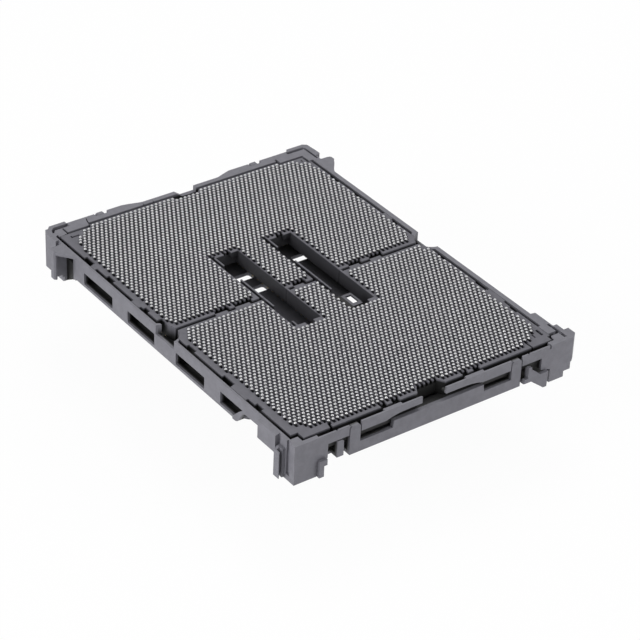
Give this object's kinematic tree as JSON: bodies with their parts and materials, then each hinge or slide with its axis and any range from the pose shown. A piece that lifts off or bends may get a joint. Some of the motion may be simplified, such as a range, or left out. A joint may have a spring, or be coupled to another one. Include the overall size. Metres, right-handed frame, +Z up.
{
  "type": "cpu socket",
  "caption": "Large rectangular ball-grid processor socket: carrier frame, two insulators with solder balls and spring contacts, and a pull-off protective cover.",
  "frame": {"origin": "centre of the bounding box in plan, at the level of the feet", "axes": "+Z up towards the solder balls, +Y along the long side towards the end wall with the chamfered corner ribs, +X along the short side"},
  "size_m": [0.0646, 0.083, 0.0086],
  "materials": {
    "frame_plastic": "fine moulded satin",
    "insulator_plastic": "fine moulded satin",
    "cover_plastic": "fine moulded satin",
    "solder": "satin solder",
    "contact_metal": "plated, satin"
  },
  "bodies": {
    "socket": {"carrier_frame": "frame_plastic", "insulator_back": "insulator_plastic", "insulator_front": "insulator_plastic", "solder_back_full": "solder", "solder_back_left": "solder", "solder_back_middle": "solder", "solder_back_right": "solder", "solder_front_full": "solder", "solder_front_left": "solder", "solder_front_middle": "solder", "solder_front_right": "solder", "contacts_back_full": "contact_metal", "contacts_back_left": "contact_metal", "contacts_back_middle": "contact_metal", "contacts_back_right": "contact_metal", "contacts_front_full": "contact_metal", "contacts_front_left": "contact_metal", "contacts_front_middle": "contact_metal", "contacts_front_right": "contact_metal"},
    "cover": {"protective_cover": "cover_plastic"}
  },
  "joints": [
    {"name": "cover_pull", "type": "slide", "parent": "socket", "child": "cover", "axis": [0, 0, -1], "range_m": [0, 0.012]}
  ]
}
